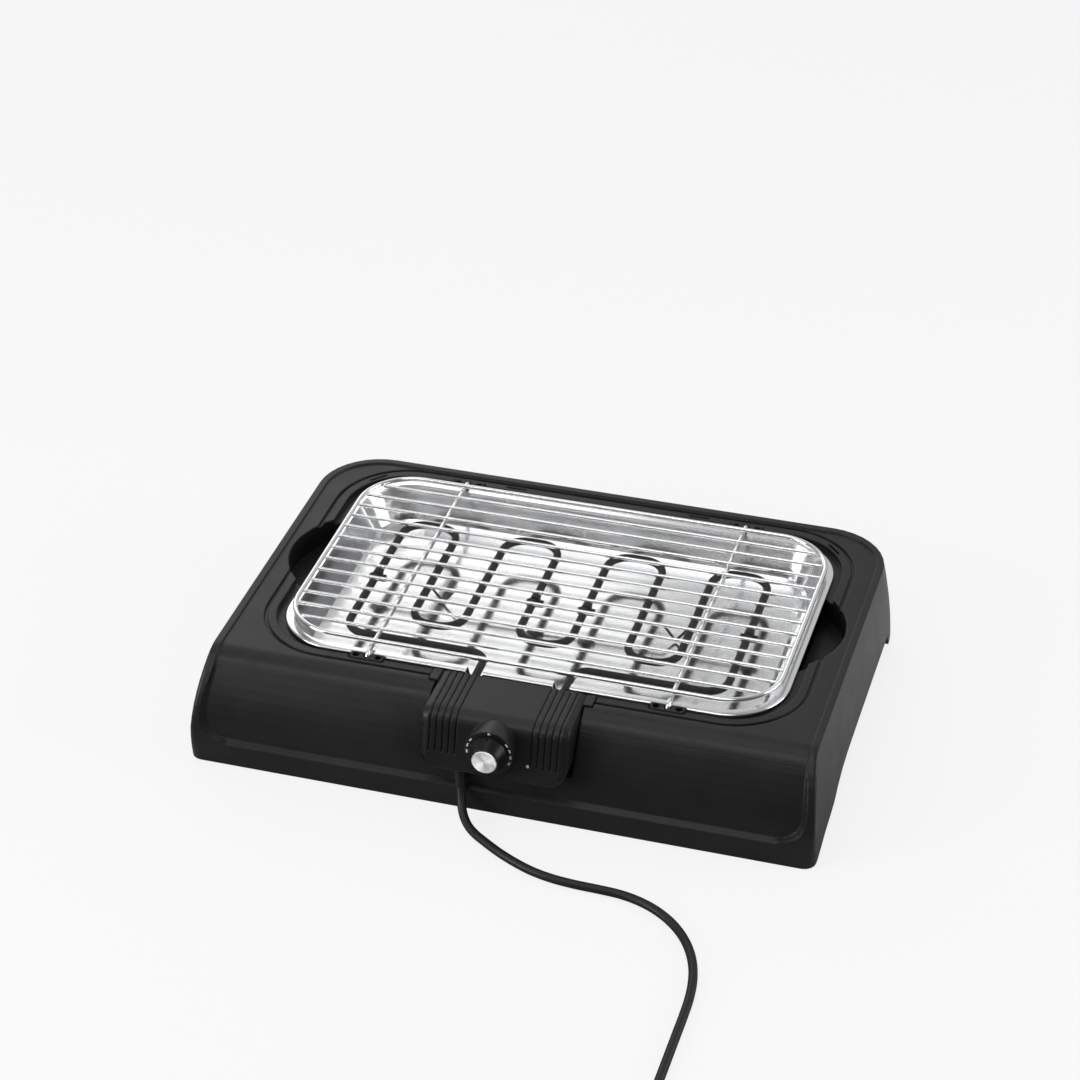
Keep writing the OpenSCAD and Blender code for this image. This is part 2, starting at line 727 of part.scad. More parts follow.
// Straight wire under the element, with two feet bent down to the tray
module element_support_wire() {
    low = floor_z + sheet_t + seat + stay_d / 2;
    pts = [
        [-stay_half, stay_z],
        [stay_foot_x[0] - foot_w / 2, stay_z], [stay_foot_x[0], low], [stay_foot_x[0] + foot_w / 2, stay_z],
        [stay_foot_x[1] - foot_w / 2, stay_z], [stay_foot_x[1], low], [stay_foot_x[1] + foot_w / 2, stay_z],
        [stay_half, stay_z]];
    path = bent_path(pts, [0, 2.5, 1.8, 2.5, 2.5, 1.8, 2.5, 0], 4);
    color([0.3, 0.2, 0.15])
        swept_tube([for (p = path) [p[0], stay_y, p[1]]], stay_d / 2, 10);
}

// Clip that holds the tube on the support wire
module element_clip(i) {
    x = [-run_x[0], -run_x[3], run_x[3], run_x[0]][i - 1];
    len = 6;
    t = 0.8;
    color([0.12, 0.11, 0.1])
        translate([x, stay_y, 0])
            difference() {
                union() {
                    translate([0, len / 2, element_z])
                        rotate([90, 0, 0])
                            cylinder(h = len, r = tube_d / 2 + t + weld);
                    translate([-7, -stay_d / 2 - t, stay_z - stay_d / 2 - t])
                        cube([14, stay_d + 2 * t, stay_d + t + 2]);
                }
                translate([0, len, element_z])
                    rotate([90, 0, 0])
                        cylinder(h = 2 * len, r = tube_d / 2 + weld);
                translate([-10, 0, stay_z])
                    rotate([0, 90, 0])
                        cylinder(h = 20, r = stay_d / 2 + weld);
            }
}

// Profile of the control box in Y and Z, drawn in by separate amounts at its top, its
// face, its back and its bottom
function box_profile(top, face, back, bottom) =
    let (z1 = box_top - top,
        shift = face / cos(box_lean_angle),
        corner = box_crease_y - box_lean * top + shift,
        turn = 90 - box_lean_angle,
        r = max(box_roll_r - max(top, 0), 1),
        t = r * tan(turn / 2),
        low = box_crease_y - box_lean * (box_h - bottom) + shift)
    concat(
        [[box_back_y - back, box_bottom + bottom], [box_back_y - back, z1]],
        arc([corner + t, z1 - r], r, 90, 90 + turn, 6),
        [[low, box_bottom + bottom]]);

// Form of the box: its profile along X, with rounded long edges
module box_form(hw, top, face, back, bottom, r) {
    rc = box_corner_r;
    zc = box_bottom + bottom + rc;
    intersection() {
        hull()
            for (side = [-1, 1], a = [0, 45, 90])
                let (in = r * (1 - cos(a)))
                translate([side * (hw - r + r * sin(a)) - eps / 2, 0, 0])
                    rotate([90, 0, 90])
                        linear_extrude(eps)
                            polygon(box_profile(top + in, face + in, back, bottom));
        translate([0, box_back_y + 20, 0])
            rotate([90, 0, 0])
                linear_extrude(150)
                    polygon(concat(
                        [[-hw, box_top + 5]],
                        arc([-hw + rc, zc], rc, 180, 270),
                        arc([hw - rc, zc], rc, 270, 360),
                        [[hw, box_top + 5]]));
    }
}

module box_shell() {
    color([0.16, 0.155, 0.155])
    difference() {
        union() {
            box_form(box_hw, 0, 0, 0, 0, box_r);
            for (side = [-1, 1])
                translate([side * (box_hw + ear_w / 2 - 0.5) - ear_w / 2 - 0.5, box_back_y - ear_len, ear_z])
                    cube([ear_w + 1, ear_len, box_top - 0.4 - ear_z]);
            // dial ring, with its flat face to the front
            difference() {
                translate([0, ring_back_y, knob_z])
                    rotate([90, 0, 0])
                        cylinder(h = ring_back_y - dial_y, r1 = dial_r - 2.6, r2 = dial_r, $fn = 96);
                translate([0, dial_y + 2.5, knob_z])
                    rotate([-90, 0, 0])
                        cylinder(h = 9, r = dial_r - 3.4, $fn = 96);
            }
        }
        box_form(box_hw - box_wall, box_wall, box_wall, -5, -5, box_r - 2);
        translate([0, dial_y - 5, knob_z])
            rotate([-90, 0, 0])
                cylinder(h = 30, r = shaft_d / 2 + fit);
        for (side = [-1, 1], k = [0:groove_count - 1])
            translate([side * (groove_x + k * groove_pitch) - groove_w / 2, 0, 0])
                rotate([90, 0, 90])
                    linear_extrude(groove_w)
                        difference() {
                            translate([box_crease_y - 60, groove_end_z])
                                square([200, 60]);
                            polygon(box_profile(groove_depth, groove_depth, -80, -20));
                        }
        translate([lamp_x, box_crease_y - box_lean * (box_top - lamp_z), lamp_z])
            rotate([90 - box_lean_angle, 0, 0])
                cylinder(h = 12, r = lamp_r + fit, center = true);
    }
}

// Closing plate of the box: its floor and its back
module box_base() {
    hw = box_hw - box_wall - fit;
    front = box_low_y + box_wall + 0.8;
    color([0.13, 0.13, 0.13])
    difference() {
        union() {
            translate([-hw + box_corner_r, front, box_bottom])
                cube([2 * (hw - box_corner_r), box_back_y - front, box_floor_t]);
            translate([-hw + 6, box_back_y - 2, box_bottom])
                cube([2 * hw - 12, 2, box_top - box_wall - fit - box_bottom - 2]);
        }
        for (side = [-1, 1])
            translate([side * lead_x, box_back_y + 5, element_z])
                rotate([90, 0, 0])
                    cylinder(h = 20, r = tube_d / 2 + fit);
        cord_hole(5.2 + fit);
    }
}

// Round hole along the strain relief
module cord_hole(r) {
    v = cord_route[0] - relief_from;
    translate(relief_from)
        rotate([0, acos(v[2] / norm(v)), atan2(v[1], v[0])])
            translate([0, 0, -6])
                cylinder(h = 20, r = r);
}

// Steel plate that holds the two leads at the back of the box
module element_flange() {
    w = 2 * lead_x + 26;
    color([0.55, 0.55, 0.56])
        difference() {
            translate([-w / 2, box_back_y - 2 - 1.5 - weld, element_z - 9])
                cube([w, 1.5, 16]);
            for (side = [-1, 1])
                translate([side * lead_x, box_back_y + 5, element_z])
                    rotate([90, 0, 0])
                        cylinder(h = 20, r = tube_d / 2 + weld);
        }
}

module thermostat() {
    d = 20;
    low = box_bottom + box_floor_t + seat;
    color([0.75, 0.73, 0.68])
        union() {
            difference() {
                translate([-therm_w / 2, therm_front_y, low])
                    cube([therm_w, d, knob_z + therm_rise - low]);
                translate([0, therm_front_y - 1, knob_z])
                    rotate([-90, 0, 0])
                        cylinder(h = 9, r = shaft_d / 2 + 0.05);
            }
            for (x = [-9, 9])
                translate([x - 3, therm_front_y + d, knob_z - 4])
                    cube([6, 8, 0.8]);
        }
}

// Terminal block on the floor of the box
module terminal_block() {
    color([0.8, 0.8, 0.76])
        difference() {
            translate([-27, box_back_y - 22, box_bottom + box_floor_t])
                cube([54, 15, 12]);
            for (x = [-18, 0, 18])
                translate([x, box_back_y - 14.5, box_bottom + box_floor_t + 4])
                    cylinder(h = 12, r = 3);
        }
}

module pilot_lamp() {
    color([0.85, 0.83, 0.8])
        translate([lamp_x, box_crease_y - box_lean * (box_top - lamp_z), lamp_z])
            rotate([90 - box_lean_angle, 0, 0])
                rotate_extrude()
                    polygon([[0, -box_wall - 3], [lamp_r, -box_wall - 3], [lamp_r, 0],
                        [lamp_r - 0.3, 0.4], [0, 0.6]]);
}

// Tapered sleeve round the lead under the box
module strain_relief() {
    v = cord_route[0] - relief_from;
    color([0.1, 0.1, 0.1])
        translate(relief_from)
            rotate([0, acos(v[2] / norm(v)), atan2(v[1], v[0])])
                rotate_extrude()
                    polygon([[0, -4], [5.2, -4], [5.2, 4], [4.9, 6], [4.2, norm(v)], [0, norm(v)]]);
}

// Frame of vectors along a path: direction at point i
function path_dir(p, i) =
    let (n = len(p), a = p[max(i - 1, 0)], b = p[min(i + 1, n - 1)]) (b - a) / norm(b - a);

// One ring of a tube about a path's point, with its first side kept upright
function ring(p, i, r, sides) =
    let (t = path_dir(p, i),
        up = abs(t[2]) > 0.95 ? [1, 0, 0] : [0, 0, 1],
        u = cross(t, up) / norm(cross(t, up)),
        v = cross(u, t))
    [for (k = [0:sides - 1]) p[i] + r * (cos(360 * k / sides) * u + sin(360 * k / sides) * v)];

// Tube along a path, as one polyhedron of triangles
module swept_tube(p, r, sides) {
    n = len(p);
    pts = concat([for (i = [0:n - 1]) each ring(p, i, r, sides)], [p[0], p[n - 1]]);
    walls = [for (i = [0:n - 2], k = [0:sides - 1])
        let (a = i * sides + k, b = i * sides + (k + 1) % sides)
        each [[a, a + sides, b], [b, a + sides, b + sides]]];
    caps = [for (k = [0:sides - 1])
        each [[n * sides, k, (k + 1) % sides],
            [n * sides + 1, (n - 1) * sides + (k + 1) % sides, (n - 1) * sides + k]]];
    polyhedron(points = pts, faces = concat(walls, caps), convexity = 10);
}

// Coil: inwards on the table, up a layer, outwards again, then straight to the plug
coil_steps = 24;
coil_r_in = coil_r - coil_turns * coil_pitch;
coil_rise = coil_pitch;
function coil_point(u) =
    let (t = u / (2 * coil_turns),
        half = 0.25 / coil_turns,
        r = t < 0.5 ? coil_r - coil_pitch * u : coil_r_in + coil_pitch * (u - coil_turns),
        s = min(max((t - 0.5 + half / 2) / half, 0), 1),
        a = -360 * u,
        c = coil_centre)
    [c[0] + r * cos(a), c[1] + r * sin(a), coil_z + coil_rise * (3 * s * s - 2 * s * s * s)];
coil_last = 2 * coil_turns + 0.25;
coil_path = concat(
    [coil_start],
    [for (k = [0:coil_last * coil_steps]) coil_point(k / coil_steps)],
    [for (k = [1:4])
        [coil_centre[0] - 10 * k, tail_y - 1.9 - 0.3 * k, coil_z + coil_rise + 0.35 * k * k + 0.1]],
    [[plug_rear_x + cord_d, tail_y - 3.1, plug_r - 0.3], [plug_rear_x, tail_y - 3.1, plug_r]]);

// Least gap between turns of the coil, and the length of the lead
function seg_len(p) = [for (i = [1:len(p) - 1]) norm(p[i] - p[i - 1])];
function total(v, i = 0) = i >= len(v) ? 0 : v[i] + total(v, i + 1);
coil_gap = min([for (i = [0:len(coil_path) - 1], j = [i + 12:len(coil_path) - 1])
    if (j < len(coil_path)) norm(coil_path[i] - coil_path[j])]) - cord_d;
lead_length = total(seg_len(cord_route)) + total(seg_len(coil_path));
echo(coil_gap = coil_gap, lead_length = lead_length);

module cord_run() {
    color([0.07, 0.07, 0.07])
        swept_tube(cord_route, cord_d / 2, 10);
}

module cord_coil() {
    color([0.07, 0.07, 0.07])
        swept_tube(coil_path, cord_d / 2, 6);
}

// Band round the turns of the coil
module coil_tie() {
    r0 = coil_r_in - cord_d / 2 - seat;
    r1 = coil_r + cord_d / 2 + seat;
    z0 = coil_z - cord_d / 2 - seat;
    z1 = coil_z + coil_rise + cord_d / 2 + seat;
    color([0.12, 0.12, 0.12])
        translate([coil_centre[0], coil_centre[1], 0])
            rotate([0, 0, tie_angle])
                translate([(r0 + r1) / 2, 0, (z0 + z1) / 2])
                    rotate([90, 0, 0])
                        linear_extrude(tie_w, center = true)
                            difference() {
                                round_rect(r1 - r0 + 2 * tie_t, z1 - z0 + 2 * tie_t, 3.5);
                                round_rect(r1 - r0, z1 - z0, 2.7);
                            }
}

// Moulded plug lying on its side, its pins to the left
module plug_body() {
    color([0.1, 0.1, 0.1])
        translate([plug_rear_x, tail_y - 3.1, plug_r])
            rotate([0, -90, 0])
                rotate_extrude()
                    polygon([[0, 0], [6, 0], [7.5, 12], [9, 20], [15, 26], [plug_r, 32],
                        [plug_r, plug_len], [0, plug_len]]);
}

module plug_pin(i) {
    side = i == 1 ? -1 : 1;
    color([0.8, 0.78, 0.7])
        translate([plug_rear_x - plug_len, tail_y - 3.1 + side * 9.5, plug_r])
            rotate([0, -90, 0])
                rotate_extrude()
                    polygon([[0, 0], [2.4, 0], [2.4, 17.5], [1.4, 19], [0, 19]]);
}

// Knob: revolved about its axis, with an index rib on top
module knob() {
    l = knob_len;
    color([0.12, 0.12, 0.12])
        translate([0, knob_back_y, knob_z])
            rotate([90, 0, 0])
                difference() {
                    union() {
                        rotate_extrude($fn = 96)
                            polygon([[0, 0], [knob_r - 0.5, 0], [knob_r, 0.6], [knob_r - 0.3, 1.6],
                                [knob_front_r + 0.6, l - 1.6], [knob_front_r, l - 0.4],
                                [knob_front_r - 0.4, l], [0, l]]);
                        translate([-0.8, knob_r - 3.4, 0.6])
                            cube([1.6, 3.2, 2.6]);
                    }
                    translate([0, 0, l - 1])
                        cylinder(h = 2, r = cap_r + 0.1, $fn = 96);
                    translate([0, 0, -1])
                        cylinder(h = l - 1.6, r = shaft_d / 2 + 0.02);
                }
}

module knob_cap() {
    l = knob_len;
    color([0.85, 0.85, 0.86])
        translate([0, knob_back_y, knob_z])
            rotate([90, 0, 0])
                rotate_extrude($fn = 96)
                    polygon([[0, l - 1], [cap_r, l - 1], [cap_r, l], [cap_r - 0.4, l + 0.3], [0, l + 0.3]]);
}

module knob_shaft() {
    color([0.7, 0.7, 0.7])
        translate([0, knob_front_y + 3, knob_z])
            rotate([-90, 0, 0])
                cylinder(h = therm_front_y + 7 - knob_front_y - 3, r = shaft_d / 2);
}

// Frame of the rack: one round wire bent to a rounded rectangle
module rack_frame() {
    hx = rack_w / 2 - rack_r;
    hy = rack_d / 2 - rack_r;
    color([0.82, 0.83, 0.84])
        translate([0, well_y, frame_z]) {
            for (c = [[hx, hy, 0], [-hx, hy, 90], [-hx, -hy, 180], [hx, -hy, 270]])
                translate([c[0], c[1], 0])
                    rotate([0, 0, c[2]])
                        rotate_extrude(angle = 90, $fn = 96)
                            translate([rack_r, 0])
                                circle(frame_d / 2, $fn = 32);
            for (s = [-1, 1]) {
                translate([-hx, s * rack_d / 2, 0])
                    rotate([0, 90, 0])
                        cylinder(h = 2 * hx, r = frame_d / 2, $fn = 32);
                translate([s * rack_w / 2, hy, 0])
                    rotate([90, 0, 0])
                        cylinder(h = 2 * hy, r = frame_d / 2, $fn = 32);
            }
        }
}

// Half the length of a bar that lies v away from the middle of the rack
function bar_half(v) =
    let (over = max(abs(v) + bar_d / 2 - (rack_d / 2 - rack_r), 0), r = rack_r - frame_d / 2)
    rack_w / 2 - rack_r + sqrt(r * r - over * over) - weld;

module rack_bar(i) {
    v = (i - (bar_count + 1) / 2) * bar_pitch;
    h = bar_half(v);
    color([0.82, 0.83, 0.84])
        translate([-h, well_y + v, bar_z])
            rotate([0, 90, 0])
                cylinder(h = 2 * h, r = bar_d / 2, $fn = 32);
}

// Cross wire under the bars, straight between its two bent ends
module cross_wire(i) {
    x = (i == 1 ? -1 : 1) * cross_x;
    y = leg_y[0] + leg_bend + weld;
    color([0.82, 0.83, 0.84])
        translate([x, y, cross_z])
            rotate([-90, 0, 0])
                cylinder(h = leg_y[1] - leg_bend - weld - y, r = cross_d / 2, $fn = 32);
}

// Bent end of a cross wire, a leg that stands in its support: 1 and 2 in front, 3 and 4 behind
module rack_leg(i) {
    front = i < 3;
    x = (i % 2 == 1 ? -1 : 1) * cross_x;
    y = front ? leg_y[0] : leg_y[1];
    color([0.82, 0.83, 0.84]) {
        translate([x, y, leg_end_z])
            cylinder(h = cross_z - leg_bend - leg_end_z, r = cross_d / 2, $fn = 32);
        translate([x, y + (front ? leg_bend : -leg_bend), cross_z - leg_bend])
            rotate([90, 0, 90])
                rotate([0, 0, front ? 90 : 0])
                    rotate_extrude(angle = 90, $fn = 96)
                        translate([leg_bend, 0])
                            circle(cross_d / 2, $fn = 32);
    }
}

base_housing();
base_plate();
for (i = [1:4]) {
    foot(i);
    rack_support(i);
    element_clip(i);
    rack_leg(i);
}
reflector_tray();
heating_element();
element_support_wire();
element_flange();
box_shell();
box_base();
thermostat();
terminal_block();
pilot_lamp();
strain_relief();
cord_run();
cord_coil();
coil_tie();
plug_body();
for (i = [1:2]) {
    plug_pin(i);
    cross_wire(i);
}
knob();
knob_cap();
knob_shaft();
rack_frame();
for (i = [1:bar_count])
    rack_bar(i);
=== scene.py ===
import math

import bmesh
import bpy
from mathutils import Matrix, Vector


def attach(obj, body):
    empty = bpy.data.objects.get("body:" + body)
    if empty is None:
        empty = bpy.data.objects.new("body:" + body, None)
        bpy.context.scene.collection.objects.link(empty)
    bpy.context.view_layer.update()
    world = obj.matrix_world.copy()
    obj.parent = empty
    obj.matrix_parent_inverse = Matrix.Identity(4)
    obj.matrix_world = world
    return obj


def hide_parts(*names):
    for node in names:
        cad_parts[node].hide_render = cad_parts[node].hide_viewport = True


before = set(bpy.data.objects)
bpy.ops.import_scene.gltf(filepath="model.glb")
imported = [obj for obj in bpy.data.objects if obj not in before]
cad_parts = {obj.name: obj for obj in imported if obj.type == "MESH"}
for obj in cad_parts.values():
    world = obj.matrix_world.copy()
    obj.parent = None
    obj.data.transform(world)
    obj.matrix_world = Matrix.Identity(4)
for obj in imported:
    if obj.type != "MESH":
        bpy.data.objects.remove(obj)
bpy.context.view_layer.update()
scene = bpy.context.scene
scene.view_settings.view_transform = "Standard"


# Camera: from the front, a little to the right and well above, through a long lens. It isn't
# aimed at the grill, which stands below the middle of the picture.
cam_data = bpy.data.cameras.new("camera")
cam_data.lens = 103.0
cam_data.sensor_width = 36.0
cam_data.clip_end = 50.0
cam = bpy.data.objects.new("camera", cam_data)
cam.location = (0.5702, -1.980, 1.4941)
cam.rotation_euler = (math.radians(56.93), 0.0, math.radians(16.34))
scene.collection.objects.link(cam)
scene.camera = cam


# Mains lead: a round flex with a rubber sheath, held by a sleeve under the control box. It
# turns onto the table, runs forward and ends in a tied coil, two turns in each of two layers,
# with a moulded plug on two plated pins.
MM = 0.001
LEAD_R = 3.5
LEAD_EXIT = (-25.5, -167, 23.5)
ROUTE = [
    LEAD_EXIT, (-24.3, -170.5, 18), (-22.6, -174.7, 12.9), (-20, -179.6, 8.8),
    (-16.3, -185, 5.9), (-11.3, -190.6, 4.2), (-4.8, -196.3, 3.6), (3, -202, 3.6),
    (19, -212.5, 3.6), (35, -221, 3.6), (51, -227.5, 3.6), (68, -231.5, 3.6),
    (86, -233.3, 3.6), (104, -233.8, 3.6), (122, -235, 3.6), (138, -239, 3.6),
    (153, -246, 3.6), (166.5, -256, 3.6), (178, -268.5, 3.6), (187, -283, 3.6),
    (193.5, -299, 3.6), (197.5, -316, 3.6), (199.5, -334, 3.6), (200, -353, 3.6),
    (200, -372, 3.6), (200, -391, 3.6), (200, -410, 3.6), (200, -429, 3.6),
    (200, -448, 3.8), (200, -466, 4.1), (200, -484, 4.4), (200, -502, 4.6),
]
ROUTE_STEPS = 4
COIL_R, COIL_TURNS, COIL_PITCH, COIL_Z = 43.0, 2, 7.7, 4.6
COIL_X, COIL_Y = 200 - COIL_R, -515.0
COIL_END = 2 * COIL_TURNS + 0.25
COIL_STEPS = 48
TAIL_Y = COIL_Y - COIL_R
PLUG_X, PLUG_Y, PLUG_Z = 97.0, TAIL_Y - 3.1, 18.5


class Wire:
    """One output of a shader node; sums and products of it add their own nodes."""

    def __init__(self, nodes, out):
        self.nodes = nodes
        self.out = out

    def _maths(self, kind, a, b):
        return self.nodes.make("ShaderNodeMath", {0: a, 1: b}, operation=kind)

    def __add__(self, other):
        return self._maths("ADD", self, other)

    def __radd__(self, other):
        return self._maths("ADD", other, self)

    def __mul__(self, other):
        return self._maths("MULTIPLY", self, other)

    def __rmul__(self, other):
        return self._maths("MULTIPLY", other, self)


class Nodes:
    """A shader tree, in which every node comes from make."""

    def __init__(self, tree):
        self.tree = tree

    def make(self, kind, ins=None, out=0, **settings):
        """Adds a node with its settings, values and links, and gives one of its outputs."""
        node = self.tree.nodes.new(kind)
        for key, value in settings.items():
            setattr(node, key, value)
        for key, value in (ins or {}).items():
            if isinstance(value, Wire):
                self.tree.links.new(value.out, node.inputs[key])
            else:
                node.inputs[key].default_value = value
        return Wire(self, node.outputs[out]) if node.outputs else None

    def remap(self, value, low, high, to_low, to_high):
        ends = {"From Min": low, "From Max": high, "To Min": to_low, "To Max": to_high}
        return self.make("ShaderNodeMapRange", {"Value": value, **ends})


class Finish(Nodes):
    """The material of a piece: a Principled shader and what feeds it."""

    def __init__(self, name, color, rough, metal=0.0, gloss=None):
        self.mat = bpy.data.materials.new(name)
        self.mat.use_nodes = True
        super().__init__(self.mat.node_tree)
        self.shader = self.tree.nodes["Principled BSDF"]
        self.shader.inputs["Base Color"].default_value = (*color, 1.0)
        self.shader.inputs["Roughness"].default_value = rough
        self.shader.inputs["Metallic"].default_value = metal
        if gloss is not None:
            self.shader.inputs["Specular IOR Level"].default_value = gloss

    def noise(self, scale, detail=2.0, rough=0.5, stretch=(1, 1, 1)):
        place = self.make("ShaderNodeTexCoord", out="Object")
        place = self.make("ShaderNodeMapping", {"Vector": place, "Scale": stretch})
        ins = {"Vector": place, "Scale": scale, "Detail": detail, "Roughness": rough}
        return self.make("ShaderNodeTexNoise", ins)

    def mix(self, factor, a, b):
        colors = {0: factor, 6: (*a, 1.0), 7: (*b, 1.0)}
        return self.make("ShaderNodeMix", colors, out=2, data_type="RGBA")

    def put(self, name, value):
        self.tree.links.new(value.out, self.shader.inputs[name])

    def bump(self, height, strength, distance, round_edges=0.0):
        ins = {"Height": height, "Strength": strength, "Distance": distance}
        if round_edges:
            ins["Normal"] = self.make("ShaderNodeBevel", {"Radius": round_edges}, samples=6)
        self.put("Normal", self.make("ShaderNodeBump", ins))


def plastic(name, dark, light, rough, grain=2600, depth=0.00004, round_edges=0.0, gloss=0.36):
    """Moulded plastic or rubber with a fine spark-eroded grain and faint cloudy wear."""
    f = Finish(name, dark, rough, gloss=gloss)
    cloud = f.noise(22, 4)
    fine = f.noise(grain, 1)
    f.put("Base Color", f.mix(f.remap(cloud, 0.35, 0.7, 0, 1), dark, light))
    worn = f.remap(cloud + fine * 0.35, 0.4, 1.0, rough - 0.06, rough + 0.08)
    f.put("Roughness", worn)
    f.bump(fine, 0.35, depth, round_edges)
    return f.mat


def numbered(name, count):
    """Names of the like pieces name_1, name_2 and so on."""
    return [f"{name}_{i}" for i in range(1, count + 1)]


def dress(mat, *names):
    """Gives CAD pieces, which keep their shape, their material."""
    for name in names:
        for slot in bpy.data.objects[name].material_slots:
            slot.material = mat


def link(name, data, mat, body):
    """Adds a piece that is made here, with its material, on its body."""
    obj = bpy.data.objects.new(name, data)
    obj.data.materials.append(mat)
    scene.collection.objects.link(obj)
    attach(obj, body)
    return obj


def through(points, steps):
    """Smooth curve through points, with a number of steps from each to the next."""
    pts = [Vector(p) for p in points]
    pts = [2 * pts[0] - pts[1], *pts, 2 * pts[-1] - pts[-2]]
    out = []
    for i in range(1, len(pts) - 2):
        a, b, c, d = pts[i - 1 : i + 3]
        for k in range(steps):
            t = k / steps
            square = (2 * a - 5 * b + 4 * c - d) * t**2
            cube = (3 * b - a - 3 * c + d) * t**3
            out.append(0.5 * (2 * b + (c - a) * t + square + cube))
    out.append(pts[-2])
    return out


def coil_point(u):
    """Point of the coil after u turns: in on the table, up a layer, out again."""
    if u < COIL_TURNS:
        r = COIL_R - COIL_PITCH * u
    else:
        r = COIL_R - COIL_TURNS * COIL_PITCH + COIL_PITCH * (u - COIL_TURNS)
    climb = min(max((u - COIL_TURNS) * 2 + 0.5, 0), 1)
    z = COIL_Z + COIL_PITCH * (3 * climb**2 - 2 * climb**3)
    a = -math.tau * u
    return Vector((COIL_X + r * math.cos(a), COIL_Y + r * math.sin(a), z))


def tail_point(k):
    """Step k of the tail, which leaves the top of the coil and rises to the plug."""
    rise = COIL_PITCH + 0.1 + 0.35 * k**2
    return Vector((COIL_X - 10 * k, TAIL_Y - 1.9 - 0.3 * k, COIL_Z + rise))


lead_pts = through(ROUTE, ROUTE_STEPS)
lead_pts += [coil_point(k / COIL_STEPS) for k in range(int(COIL_END * COIL_STEPS) + 1)]
lead_pts += [tail_point(k) for k in range(1, 5)]
lead_pts += [Vector((PLUG_X + 7, PLUG_Y, PLUG_Z - 0.3)), Vector((PLUG_X, PLUG_Y, PLUG_Z))]
curve = bpy.data.curves.new("mains_lead", "CURVE")
curve.dimensions = "3D"
curve.bevel_depth = LEAD_R * MM
curve.bevel_resolution = 6
curve.use_fill_caps = True
spline = curve.splines.new("POLY")
spline.points.add(len(lead_pts) - 1)
for point, place in zip(spline.points, lead_pts):
    point.co = (*(place * MM), 1.0)
spline.use_smooth = True

lead = plastic(
    "lead", (0.012, 0.012, 0.0125), (0.016, 0.016, 0.0165), 0.42, grain=1500, depth=0.00003
)
mains_lead = link("mains_lead", curve, lead, "heater")
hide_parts("cord_run", "cord_coil")
dress(lead, "strain_relief", "coil_tie", "plug_body")

f = Finish("plated_pin", (0.78, 0.76, 0.7), 0.22, 1.0)
f.put("Roughness", f.remap(f.noise(200, 2), 0.3, 0.7, 0.18, 0.3))
dress(f.mat, *numbered("plug_pin", 2))


# Base: one moulded housing of black heat-proof plastic, with a block at each corner of its
# well for a leg of the rack. A plastic plate closes it from below, and four rubber feet are
# pressed in there. The material rounds its sharp edges in the shading only.
EDGE_ROUND = 0.0018
housing = plastic(
    "housing", (0.012, 0.0115, 0.0135), (0.016, 0.0152, 0.0175), 0.38, round_edges=EDGE_ROUND
)
dress(housing, "base_housing", *numbered("rack_support", 4))
underside = plastic("underside", (0.02, 0.02, 0.02), (0.026, 0.026, 0.026), 0.6)
dress(underside, "base_plate")
rubber = plastic(
    "rubber", (0.012, 0.012, 0.012), (0.018, 0.018, 0.018), 0.75, grain=900, depth=0.0001
)
dress(rubber, *numbered("foot", 4))


# Drip tray: pressed from bright sheet metal with a rolled rim, and laid loose on the ledge of
# the well. Fine streaks from the rolling of the sheet run across its gloss.
SHEET_STREAKS = (14, 260, 260)
f = Finish("tray_metal", (0.88, 0.885, 0.895), 0.14, 1.0)
streak = f.noise(1, 2, 0.5, SHEET_STREAKS)
f.put("Roughness", f.remap(streak + f.noise(24, 2) * 0.5, 0.5, 1.1, 0.14, 0.21))
f.bump(f.noise(14, 2), 0.025, 0.0004)
dress(f.mat, "reflector_tray")


# Heating element: a steel tube, bent to loops and burnt black, with its ends in a flange of
# plain steel on the control box. Four clips hold it on a straight wire, browned by the heat.
f = Finish("element_sheath", (0.012, 0.012, 0.0125), 0.6)
spots = f.noise(180, 5)
burnt = f.mix(f.remap(spots, 0.4, 0.75, 0, 1), (0.009, 0.009, 0.0095), (0.03, 0.028, 0.027))
f.put("Base Color", burnt)
f.put("Roughness", f.remap(spots, 0.3, 0.8, 0.5, 0.75))
f.bump(f.noise(1400, 2), 0.3, 0.00006)
dress(f.mat, "heating_element", *numbered("element_clip", 4))

f = Finish("browned_steel", (0.12, 0.07, 0.05), 0.45, 0.6)
spots = f.noise(140, 4)
brown = f.mix(f.remap(spots, 0.35, 0.7, 0, 1), (0.04, 0.024, 0.018), (0.17, 0.11, 0.08))
f.put("Base Color", brown)
f.put("Roughness", f.remap(spots, 0.3, 0.8, 0.35, 0.6))
f.bump(f.noise(900, 2), 0.2, 0.00005)
dress(f.mat, "element_support_wire")

BRUSHED = (60, 60, 1500)
f = Finish("plain_steel", (0.55, 0.55, 0.55), 0.35, 1.0)
f.put("Roughness", f.remap(f.noise(80, 3), 0.3, 0.75, 0.28, 0.45))
f.bump(f.noise(1, 2, 0.5, BRUSHED), 0.1, 0.00005)
plain_steel = f.mat
dress(plain_steel, "element_flange")


# Control box: a moulded shell with a closing plate, of the base's plastic, that hangs over the
# front. In it are the thermostat and the terminal block, of a pale insulating plastic, and in
# its face is the clear lens of the pilot lamp.
dress(housing, "box_shell", "box_base")
insulator = plastic("insulator", (0.55, 0.52, 0.46), (0.62, 0.6, 0.55), 0.5)
dress(insulator, "thermostat", "terminal_block")
f = Finish("lamp_lens", (0.8, 0.78, 0.75), 0.2)
f.put("Roughness", f.remap(f.noise(400, 2), 0.3, 0.7, 0.15, 0.3))
dress(f.mat, "pilot_lamp")


